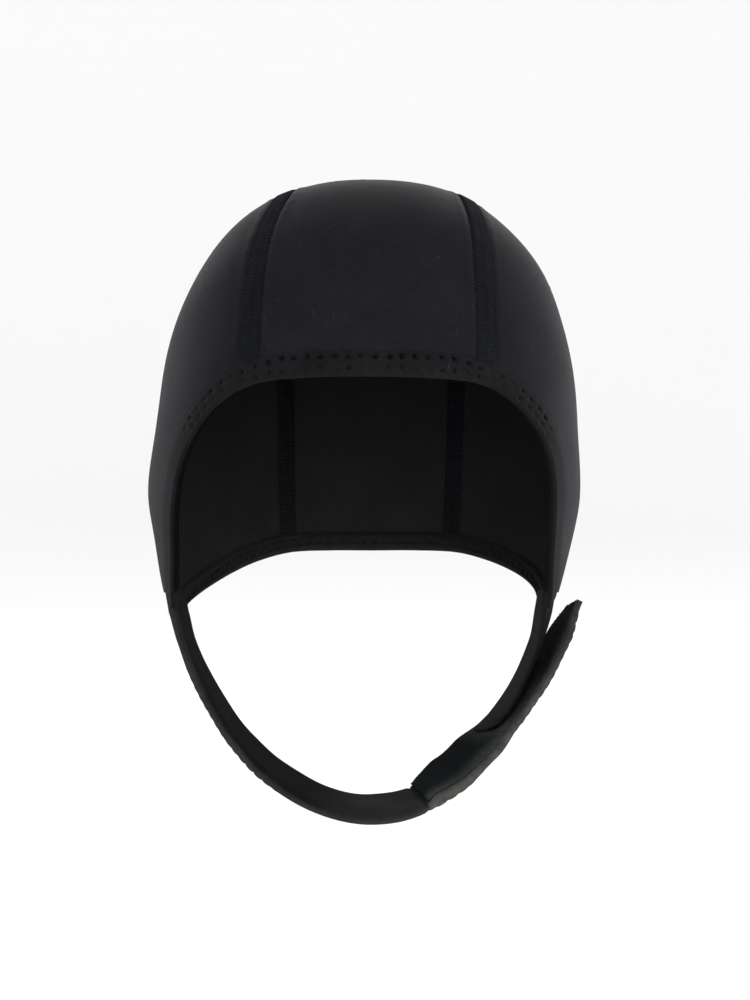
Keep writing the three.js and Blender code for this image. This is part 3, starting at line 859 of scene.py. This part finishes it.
def rowAt(row, across):
    # both rows move nearer to the edge round the corners and on the way down to the strap
    far, narrowing = np.abs(across), hemTurns["narrowing"]
    corner, cheek = smooth((far - hemTurns["corner"]) / 0.35), smooth((far - hemTurns["cheek"]) / 0.4)
    return row * (1 - narrowing * corner - narrowing * cheek)


def hemRelief(hem, measure, distance, across, run):
    # puckers between the rows, with a groove and needle holes in each, and how deep in a hole a place is
    step = measure["total"] / measure["count"]
    stitch = np.clip((run / step).astype(int), 0, measure["count"])
    far = np.abs(across)
    calm = 1 - 0.96 * smooth((far - hem["fadeFrom"]) / 0.12)
    depth = mix(1, hemTurns["flatter"], smooth((far - hemTurns["corner"]) / 0.3))
    relief = np.zeros(np.broadcast(distance, run).shape)
    pits = np.zeros(relief.shape)
    for number, row in enumerate(hem["rows"]):
        pull = measure["pull"][number][stitch] * calm
        toHole = (run / step) % 1 - 0.5 - measure["stray"][number][stitch]
        away = (distance - rowAt(row, across) - measure["aside"][number][stitch]) / hem["holeSize"]
        hole = pull * np.exp(-away ** 2 - (toHole * step / hem["holeSize"]) ** 2)
        crest = np.sin(math.pi * np.abs(toHole)) ** 2 * np.exp(-0.12 * away ** 2)
        relief -= hem["groove"] * depth * pull * np.exp(-0.35 * away ** 2)
        relief -= hem["holeDepth"] * depth * hole
        relief += hem["pucker"] * depth * pull * crest
        pits += hole
    slant = np.sin(2 * math.pi * (run / step + 0.16 * distance)) * measure["pull"][0][stitch]
    between = (distance - rowAt(sum(hem["rows"]) / 2, across)) / hem["betweenWidth"]
    return relief + hem["between"] * (1 + slant) * depth * calm * bell(between), pits


def hemShades(distance, across):
    # the lip is paler than the cloth above it, and so is the hem where it turns the corner
    far = np.abs(across)
    lip = smooth((rowAt(4.5, across) - distance) / 1.2)
    corner = 0.5 * smooth((far - hemTurns["paleFrom"]) / 0.2) * smooth((rowAt(10, across) - distance) / 2)
    return np.maximum(lip, corner) * smooth((hemTurns["paleTo"] - far) / 0.2)


def underShades(across):
    # painted shadow: the folded edge's underside is painted dark as the shade in the fold, lifted a little on the
    # right as painted light, and pale above the strap where the shade ends
    return np.maximum(smooth((np.abs(across) - hemTurns["strap"]) / 0.03), 0.3 * smooth(across / 0.5))


def makeHem(name, hem, fromEdge, underKnit, node):
    section = hemSection(hem)
    measure = hemMeasure(hem, fromEdge)
    total, fine, length = measure["total"], measure["fine"], measure["length"]
    stations = np.interp(np.linspace(0, total, int(total / hem["step"])), length, fine)[:, None]
    run = np.interp(stations, fine, length)
    distance, depth = section[:, 0][None], section[:, 1][None]
    onSkin = depth < hem["thick"] / 2 - hem["proud"] - 0.9
    relief, pits = hemRelief(hem, measure, distance, stations, run)
    place = fromEdge(stations, distance + 0 * run)
    rings = inWall(place, depth - np.where(onSkin, relief, -0.5 * relief))
    grain = paired(runAlong(section)[None], run)
    # the needle holes are painted darker as painted shade
    skinShades = np.maximum(-1, hemShades(distance, stations) - hem["holeShade"] * pits)
    shades = np.where(onSkin, skinShades, underShades(stations))
    skinCount = int(onSkin.sum())
    piece = addRingPiece(name, rings, grain, [hemKnit, underKnit], node,
                         [0] * skinCount + [1] * (len(section) - skinCount), shades)
    print(name, "folded with", len(piece.data.polygons), "faces")


def makeHemStitches(name, hem, fromEdge):
    places = hemMeasure(hem, fromEdge)["places"]
    bow = np.linspace(0, 1, 9)
    lift = 0.85 * np.sin(math.pi * bow) ** 0.5 - 0.75
    runs = []
    for number, row in enumerate(hem["rows"]):
        skin = skinDepth(hem, row)
        for first, second in zip(places[number][:-1], places[number][1:]):
            if abs(first + second) / 2 < hem["fadeFrom"] + 0.1:
                at = mix(first, second, bow)
                runs.append(inWall(fromEdge(at, rowAt(row, at)), skin - lift + 0.14))
    # inside, the looper threads run to and fro over the raw edge
    low, high = hem["rows"]
    depth = hem["thick"] - hem["proud"] + 0.1 + 0.1 * np.sin(math.pi * bow)
    for first, second in zip(places[0][:-1], places[0][1:]):
        half = (first + second) / 2
        for start, end, near, far in ((first, half, low, high), (half, second, high, low),
                                      (first, second, low, low), (first, second, high, high)):
            at = mix(start, end, bow)
            runs.append(inWall(fromEdge(at, rowAt(mix(near, far, bow), at)), depth))
    addThreads(name, runs, hem["threadRadius"], stitchThread)


makeHem("faceHemCloth", faceHem, fromFace, hemUnderKnit, "face_hem")
makeHem("napeHemCloth", napeHem, fromNape, liningKnit, "nape_hem")
makeHemStitches("faceHemStitches", faceHem, fromFace)
makeHemStitches("napeHemStitches", napeHem, fromNape)
print("hems stitched")


# flat seams

flatSeam = {
    "halfWidth": 4, "length": 330, "step": 0.65, "faceClear": 7.9, "napeClear": 7.4,
    "proud": 0.22, "edgeProud": -0.2, "furrow": 0.22, "furrowWidth": 0.09, "wobble": 0.07,
    "threadFaceClear": 8.0, "threadNapeClear": 7.6, "threadReach": 4.2, "threadRadius": 0.2,
    "pitch": 1.7, "turnPoints": 10, "needlePoints": 4, "needleRows": (-3.8, -1.3, 1.3, 3.8),
    "overSwing": 1.12,  # the turns are cut flat at the band's edges
    "sag": 0.3, "hop": 0.13, "outerRowSink": 0.28,
}


def makeFlatSeam(seam, side, name, node):
    share = np.linspace(-1, 1, 17)
    count = int(seam["length"] / seam["step"])
    slant = (1 - side * share) / 2
    start, end = (
        mix(*(panelCorner(side, fromEdge, clear, outside)[1] for outside in (True, False)), slant)[None]
        for fromEdge, clear in ((fromFace, seam["faceClear"]), (fromNape, seam["napeClear"])))
    along = mix(start, end, np.linspace(0, 1, count)[:, None])
    place = fromSeam(side, along, seam["halfWidth"] * share[None] + 0 * along)
    run = np.linspace(0, seam["length"], count)[:, None]
    swell = mix(seam["edgeProud"], seam["proud"], 1 - share ** 4)
    furrow = -seam["furrow"] * bell(share / seam["furrowWidth"])
    wobble = seam["wobble"] * np.sin(2 * math.pi * (run / seam["pitch"] + 0.5 * share[None]))
    lift = swell[None] + furrow[None] + wobble
    rings = np.concatenate([inWall(place, -lift), inWall(place, hoodForm["wall"] + lift)[:, ::-1]], 1)
    across = np.concatenate([share, share[::-1]]) * seam["halfWidth"]
    grain = paired(across[None], run)
    addRingPiece(name, rings, grain, [seamBase], node)


def makeSeamThreads(seam, side, name):
    # cover thread to and fro across the joint, and four rows of needle thread along it
    begin, finish = (
        nearSeam(side, fromEdge(1.0 * side, clear), seamStart(fromEdge))[0]
        for fromEdge, clear in ((fromFace, seam["threadFaceClear"]), (fromNape, seam["threadNapeClear"])))
    turns = int(runAlong(seamOf[side](np.linspace(begin, finish, 400)))[-1] / seam["pitch"])
    phase = np.arange(turns * seam["turnPoints"] + 1) / seam["turnPoints"]
    along = mix(begin, finish, phase / turns)
    swing = np.abs(((phase % 1) - 0.5) * 2) * 2 - 1
    across = seam["threadReach"] * np.clip(seam["overSwing"] * swing, -1, 1)
    sag = seam["sag"] * smooth((np.abs(across) - 3.3) / 0.9)
    needleCount = turns * seam["needlePoints"]
    needleAlong = np.linspace(begin, finish, needleCount)
    hop = seam["hop"] * np.sin(2 * math.pi * np.arange(needleCount) / seam["needlePoints"])
    middle = hoodForm["wall"] / 2
    height = middle + seam["proud"]
    for face, depth, flip in (("Outside", -1, 1), ("Inside", 1, -1)):
        runs = [inWall(fromSeam(side, along, flip * across), middle + depth * (height + 0.08 - sag))]
        for row in seam["needleRows"]:
            low = seam["outerRowSink"] * smooth((abs(row) - 2.7) / 1.1)
            place = fromSeam(side, needleAlong, np.full(needleCount, row))
            runs.append(inWall(place, middle + depth * (height - 0.04 - low + hop)))
        addThreads(name + face, runs, seam["threadRadius"], seamThread, sides=4)


for side, word in sideWords.items():
    makeFlatSeam(flatSeam, side, word + "SeamBand", "flat_seam_" + word)
    makeSeamThreads(flatSeam, side, word + "SeamThreads")
print("panels joined")


# straps: rows are x, y, z and how far the front edge swings out of the loop, in degrees;
# a groove is the stitch row's distance from the middle, its depth and its width

chinStrap = {
    "rows": [
        (-69.4, -9.2, -175, 1), (-64.8, -11.5, -186.5, 2), (-57.7, -14.5, -199, 2.5), (-48.5, -18.5, -211.5, 3.5),
        (-36.7, -23, -222.4, 4), (-19, -28, -231.6, 4), (0, -31, -235.2, 4.5), (18.6, -29, -231.9, 5),
        (31.1, -26, -222.7, 13.6), (40, -22.5, -214, 14), (49, -18.5, -205.3, 7.8), (58.3, -15, -195.1, 4.9),
        (66.1, -12, -184.5, 4), (71.8, -10, -173, 5.2), (78.2, -8.5, -160, -2.5),
    ],
    "width": 38, "thick": 3.6, "rootThick": 4.2, "joinRow": 8, "edgeRoundness": 9, "stations": 210,
    "tuck": 8,  # the root goes on this far inside the flap
    "groove": (14.8, 0.22, 0.7), "bump": 0.13, "bumpWidth": 2.6, "pitch": 4.0, "threadRadius": 0.2,
}
strapEnd = {
    "width": 38, "joinThick": 4.6, "thick": 2.4, "easeShare": 0.34, "corner": 3, "cornerShare": 0.04,
    "groove": (16.4, 0.18, 0.6), "bump": 0.06, "bumpWidth": 2.4, "wander": 0.06,
    "border": 16.5, "borderEase": 0.6, "fray": 0.9, "slant": 0.05,
}
loopTab = {
    "rows": [
        (63.4, -9.2, -174.5, 1.5), (59.2, -11, -184.8, 0.5), (53.4, -14, -194.9, 1), (46.3, -17, -203.2, 2),
        (41.7, -19.5, -206.8, 4.5),
    ],
    "width": 36, "thick": 2.2, "tipLength": 20, "tipWidth": 6, "tipThick": 0.9, "taper": 26, "stations": 150,
    "tuck": 8, "rootThick": 4.0, "rootDepth": 2.4, "rootLift": 0.65,
    "groove": (15, 0.15, 0.6), "bump": 0.12, "bumpWidth": 2.4,
}
closureTape = {
    "width": 34, "thick": 0.7, "gap": 0.3, "loopStart": 0.33, "margin": 1.5,
    "hookRows": 60, "hooksPerRow": 24, "hookReach": 15.6, "hookLean": 0.3, "hookHeight": 0.36, "hookRadius": 0.08,
    "loops": 1500, "loopSize": (0.3, 0.55), "loopRadius": 0.07, "seed": 7,
}
halfRing = 45  # points on each face of a strap's section


def rootMiddle(side, depth):
    # middle of a strap root at a depth in the flap, one gap below its end, and the way up the flap
    front, rear = inWall(faceEdge(2.0 * side), depth), inWall(napeEdge(2.0 * side), depth)
    above = inWall((faceEdge(1.9 * side) + napeEdge(1.9 * side)) / 2, depth)
    point = (front + rear) / 2
    up = unit(above - point)
    return point - up * closureTape["gap"], up


def strapLine(start, rows, facing):
    table = np.array(rows, float)
    points = np.vstack([start, table[:, :3]])
    turns = np.radians(np.concatenate([table[:1, 3], table[:, 3]]))
    spans = len(points) - 1
    small = 0.002

    def framesAt(at):
        place = np.clip(np.asarray(at, float), 0, 1) * spans
        row = np.minimum(place.astype(int), spans - 1)
        turn = mix(turns[row], turns[row + 1], smooth(place - row))[..., None]
        tangent = unit(splineAt(points, place + small) - splineAt(points, place - small))
        rear = unit(np.array([0.0, 1.0, 0.0]) - tangent * tangent[..., 1:2])
        out = np.cross(rear, tangent) * facing
        return {
            "centre": splineAt(points, place),
            "rear": rear * np.cos(turn) - out * np.sin(turn),
            "out": out * np.cos(turn) + rear * np.sin(turn),
        }

    return framesAt


strapRoot, strapUp = rootMiddle(-1, chinStrap["thick"] / 2)
tabRoot, tabUp = rootMiddle(1, loopTab["rootDepth"])
strapFrames = strapLine(strapRoot, chinStrap["rows"], 1)
tabFrames = strapLine(tabRoot, loopTab["rows"], -1)
joinAt = chinStrap["joinRow"] / len(chinStrap["rows"])


def withTuck(frames, up, length, count=9):
    # the strap runs on up inside the flap
    rise = np.linspace(length, 0, count, endpoint=False)[:, None]
    first = {key: np.repeat(value[:1], count, 0) for key, value in frames.items()}
    first["centre"] = first["centre"] + up * rise
    return {key: np.concatenate([first[key], frames[key]]) for key in frames}


def onStrap(frames, across, height):
    return frames["centre"] + frames["rear"] * across[..., None] + frames["out"] * height[..., None]


def edgeRelief(strap, bumps):
    # a stitched groove near each edge, and bumps along the edges themselves
    row, depth, width = strap["groove"]

    def relief(across):
        aside = np.abs(across)
        return -depth * bell((aside - row) / width) + bumps * bell((aside - strap["width"] / 2) / strap["bumpWidth"])

    return relief


def strapRings(frames, width, thick, lift, relief=None, wander=0, ends=(True, True)):
    # section points run from the rear edge over the outer face to the front edge and back
    share = np.sin(np.linspace(math.pi / 2, -math.pi / 2, halfRing))
    count = len(frames["centre"])
    width, thick, lift = (np.broadcast_to(np.asarray(value, float), (count,))[:, None]
                          for value in (width, thick, lift))
    across = width / 2 * share[None]
    body = thick / 2 * np.sqrt(np.clip(1 - np.abs(share) ** chinStrap["edgeRoundness"], 0.015, 1))[None]
    for rounded, fromEnd in zip(ends, (np.arange(count), np.arange(count)[::-1])):
        if rounded:
            body = body * np.sqrt(np.clip(0.25 + 0.25 * fromEnd[:, None], 0, 1))
    outerHeight, innerHeight = lift + body, lift - body
    if relief is not None:
        full = np.minimum(1, 2 * body / thick)
        outerHeight = outerHeight + relief(across) * full
        innerHeight = innerHeight - relief(across) * full
    wide = {key: value[:, None] for key, value in frames.items()}
    outer = onStrap(wide, across, outerHeight + wander)
    inner = onStrap(wide, across, innerHeight + wander)[:, ::-1]
    return np.concatenate([outer, inner], 1), np.concatenate([across, across[:, ::-1]], 1)


def addStrap(name, rings, across, finishes, node, finishOfSide, shades):
    run = runAlong(rings[:, rings.shape[1] // 4])[:, None]
    addRingPiece(name, rings, paired(across, run), finishes, node, finishOfSide, shades)


def addStrapStitches(name, framesAt, begin, end, row, topAt):
    # a row of stitches near each edge, on the outer face
    fine = np.linspace(begin, end, 1200)
    length = runAlong(framesAt(fine)["centre"])
    count = int(length[-1] / chinStrap["pitch"])
    bow = np.linspace(0, 1, 7)
    hop = 0.3 * np.sin(math.pi * bow) ** 0.5 - 0.36
    runs = []
    for stitch in range(count):
        at = np.interp((stitch + 0.06 + 0.88 * bow) / count * length[-1], length, fine)
        for across in (-row, row):
            runs.append(onStrap(framesAt(at), np.full(len(bow), across), topAt(at) + hop))
    addThreads(name, runs, chinStrap["threadRadius"], stitchThread)


def nearEdges(across, half, reach):
    return smooth((np.abs(across) - (half - reach)) / (0.6 * reach))


def makeChinStrap(strap):
    frames = strapFrames(np.linspace(0, joinAt + 0.0015, strap["stations"]))
    frames = withTuck(frames, strapUp, strap["tuck"])
    run = runAlong(frames["centre"])[:, None]
    fromEnds = smooth(np.minimum(run - strap["tuck"], run[-1] - run) / 12)
    wander = (0.3 * np.sin(run / 17 + 0.6) + 0.15 * np.sin(run / 7.3)) * fromEnds
    folds = np.sin(run / 4.6 + 1.2 * np.sin(run / 11)) + 0.8 * np.sin(run / 8.7)
    relief = edgeRelief(strap, strap["bump"] * folds * fromEnds)
    thick = mix(strap["rootThick"], strap["thick"], smooth((run[:, 0] - strap["tuck"]) / 14))
    rings, across = strapRings(frames, strap["width"], thick, 0, relief, wander, (False, True))
    # painted light: paler at the edges and towards the front of the inner face, where the light falls, less so on
    # the way down, and again at the join
    half = strap["width"] / 2
    reach = mix(6, 3, smooth((run - 20) / 50))
    shades = 0.85 * np.maximum(nearEdges(across, half, 1.6), smooth((reach - half - across) / 5))
    towardsJoin = 0.95 * smooth((run - run[-1] + 46) / 26)
    shades = np.maximum(shades, towardsJoin) * (0.85 + 0.15 * np.sin(run / 6 + across / 5))
    addStrap("chinStrapCloth", rings, across, [strapOuterKnit, strapInnerKnit], "chin_strap",
             [0] * halfRing + [1] * halfRing, shades)
    addStrapStitches("chinStrapStitches", strapFrames, 0.004, joinAt - 0.004, strap["groove"][0],
                     lambda at: strap["thick"] / 2)


def endFrames(share):
    return strapFrames(mix(joinAt + 0.0016, 1, share))


def endThick(share):
    full = mix(strapEnd["joinThick"], strapEnd["thick"], smooth(share / strapEnd["easeShare"]))
    return mix(chinStrap["thick"], full, smooth(share / 0.05))


def endLift(share):
    return (chinStrap["thick"] - endThick(share)) / 2


def makeStrapEnd(end):
    share = np.linspace(0, 1, chinStrap["stations"])
    frames = endFrames(share)
    width = end["width"] - end["corner"] * smooth(1 - (1 - share) / end["cornerShare"])
    run = runAlong(frames["centre"])[:, None]
    calm = smooth(np.minimum(run, run[-1] - run) / 9)
    bumps = np.sin(run / 2.4 + 1.5 * np.sin(run / 9)) + 0.5 * np.sin(run / 5.9 + 2)
    relief = edgeRelief(end, end["bump"] * bumps * calm)
    wander = end["wander"] * np.sin(run / 9) * calm
    rings, across = strapRings(frames, width, endThick(share), endLift(share), relief, wander, (False, False))
    # the border swells past the tape on the inner face
    inner = across[:, halfRing:]
    swell = smooth((np.abs(inner) - end["border"]) / end["borderEase"]) * smooth(share / 0.03)[:, None]
    rings[:, halfRing:] -= frames["out"][:, None] * swell[..., None] * (closureTape["gap"] + closureTape["thick"])
    # the cut end is ragged
    tangent = unit(rings[-1] - rings[-3])
    place = across[-1]
    rag = end["fray"] * (np.sin(place * 0.9 + 1) + 0.7 * np.sin(place * 2.3) + 0.4 * np.sin(place * 5.1 + 2))
    for back in range(8):
        rings[-1 - back] += tangent * ((1 - back / 8) * (0.5 * rag - end["slant"] * place))[:, None]
    # the rim is painted pale, mostly as painted light on its rounded edge and partly as a pale worn edge, less so
    # towards the free end
    shades = nearEdges(across, end["width"] / 2, 2.6) * (0.86 + 0.14 * np.sin(run / 1.9 + 2 * np.sin(run / 5)))
    shades = shades * mix(1, 0.4, smooth((run - 55) / 22))
    addStrap("strapEndCloth", rings, across, [endOuterKnit, tapeKnit], "strap_end",
             [0] * (halfRing + 9) + [1] * 27 + [0] * 9, shades)
    addStrapStitches("strapEndStitches", endFrames, 0.02, 0.97, end["groove"][0],
                     lambda at: endLift(at) + endThick(at) / 2)


def makeHookTape(tape):
    share = np.linspace(0.008, 1 - 1 / 24, 150)
    frames = endFrames(share)

    def faceAt(share):
        return endLift(share) - endThick(share) / 2 - tape["gap"]

    rings, across = strapRings(frames, tape["width"], tape["thick"],
                               faceAt(share) - tape["thick"] / 2)
    run = runAlong(frames["centre"])[:, None]
    # painted light: paler towards the front edge, where light falls on the tape, and a little over the whole upper
    # part, lifting its shade
    litFront = smooth((-across - 4 - 1.5 * np.sin(run / 7)) / 12) * mix(1, 0.6, smooth((run - 25) / 40))
    shades = np.maximum(litFront, smooth((run - 26) / 14) * mix(0.25, 1, smooth((72 - run) / 18)))
    addStrap("hookTapeCloth", rings, across, [tapeKnit], "hook_tape", None, shades)
    # rows of small hooks on the inner face, leaning in turn to one side and the other
    bend = np.linspace(0, 1, 5)
    reach = tape["hookReach"]
    runs = []
    for index, station in enumerate(np.linspace(0.012, 0.945, tape["hookRows"])):
        frames = endFrames(np.full(5, station))
        way = 1 if index % 2 else -1
        swing = tape["hookLean"] * way * np.sin(math.pi * 0.8 * bend)
        height = faceAt(station) - tape["thick"] - tape["hookHeight"] * np.sin(math.pi * 0.72 * bend)
        for place in np.linspace(-reach, reach, tape["hooksPerRow"]) + 0.33 * way:
            runs.append(onStrap(frames, place + swing, height + 0.05))
    addThreads("hookRows", runs, tape["hookRadius"], pileThread, 4)


def tabWidthAt(share, full):
    small = 0.001
    nearTip = 1 - 1 / len(loopTab["rows"])
    step = tabFrames(np.array([nearTip, nearTip + small]))["centre"]
    tipShare = loopTab["tipLength"] * small / np.linalg.norm(step[1] - step[0])
    rounding = np.maximum(0, 1 - (1 - share) / tipShare)
    return mix(loopTab["tipWidth"], full, np.sqrt(np.clip(1 - rounding ** 2, 0, 1)))


def makeLoopTab(tab):
    share = 1 - (1 - np.linspace(0, 1, tab["stations"])) ** 1.4
    frames = withTuck(tabFrames(share), tabUp, tab["tuck"])
    run = runAlong(frames["centre"])[:, None]
    width = tabWidthAt(np.concatenate([np.zeros(len(run) - len(share)), share]), tab["width"])
    root = smooth((run[:, 0] - tab["tuck"]) / 15)
    full = mix(tab["rootThick"], tab["thick"], root)
    # it thins out towards the tip, flat on the side of the tape
    thick = mix(tab["tipThick"], full, smooth((run[-1] - run[:, 0]) / tab["taper"]))
    lift = tab["rootLift"] * (1 - root) + (full - thick) / 2
    relief = edgeRelief(tab, tab["bump"] * np.sin(run / 3.3))
    rings, across = strapRings(frames, width, thick, lift, relief, 0, (False, True))
    # painted shade: the outer face, the edges and the tip have the other, darker colour, where shade falls on the
    # tab
    root = root[:, None]
    shades = smooth((np.abs(across) - width[:, None] / 2 + 1.2) / 0.8) * root
    shades[:, :halfRing] = np.maximum(shades[:, :halfRing], root)
    shades = np.maximum(shades, 0.7 * smooth((run - run[-1] + 16) / 14))
    addStrap("loopTabCloth", rings, across, [tabKnit], "loop_tab", None, shades)
    addStrapStitches("loopTabStitches", tabFrames, 0.02, 0.78, tab["groove"][0],
                     lambda at: tab["thick"] / 2)


def makeLoopTape(tape):
    share = np.linspace(tape["loopStart"], 1 - 1 / 18, 110)
    lift = loopTab["thick"] / 2 + tape["gap"] + tape["thick"] / 2
    width = tabWidthAt(share, tape["width"]) - tape["margin"]
    rings, across = strapRings(tabFrames(share), width, tape["thick"], lift)
    addStrap("loopTapeCloth", rings, across, [tapeKnit], "loop_tape", None, 0 * across)
    # a brushed pile of small loops
    dice = np.random.default_rng(tape["seed"])
    arc = np.linspace(0, math.pi, 5)
    face = lift + tape["thick"] / 2
    runs = []
    for number in range(tape["loops"]):
        station = dice.uniform(share[0] + 0.01, share[-1] - 0.01)
        half = tabWidthAt(np.array(station), tape["width"]) / 2 - 1.6
        place = dice.uniform(-half, half)
        size, turn = dice.uniform(*tape["loopSize"]), dice.uniform(0, math.pi)
        span = -size * np.cos(arc)
        frames = tabFrames(np.full(5, station) + 0.012 * span * math.sin(turn))
        runs.append(onStrap(frames, place + span * math.cos(turn), face - 0.05 + 0.5 * size * np.sin(arc)))
    addThreads("loopPile", runs, tape["loopRadius"], pileThread, 4)


makeChinStrap(chinStrap)
makeStrapEnd(strapEnd)
makeHookTape(closureTape)
makeLoopTab(loopTab)
makeLoopTape(closureTape)
print("straps sewn on")
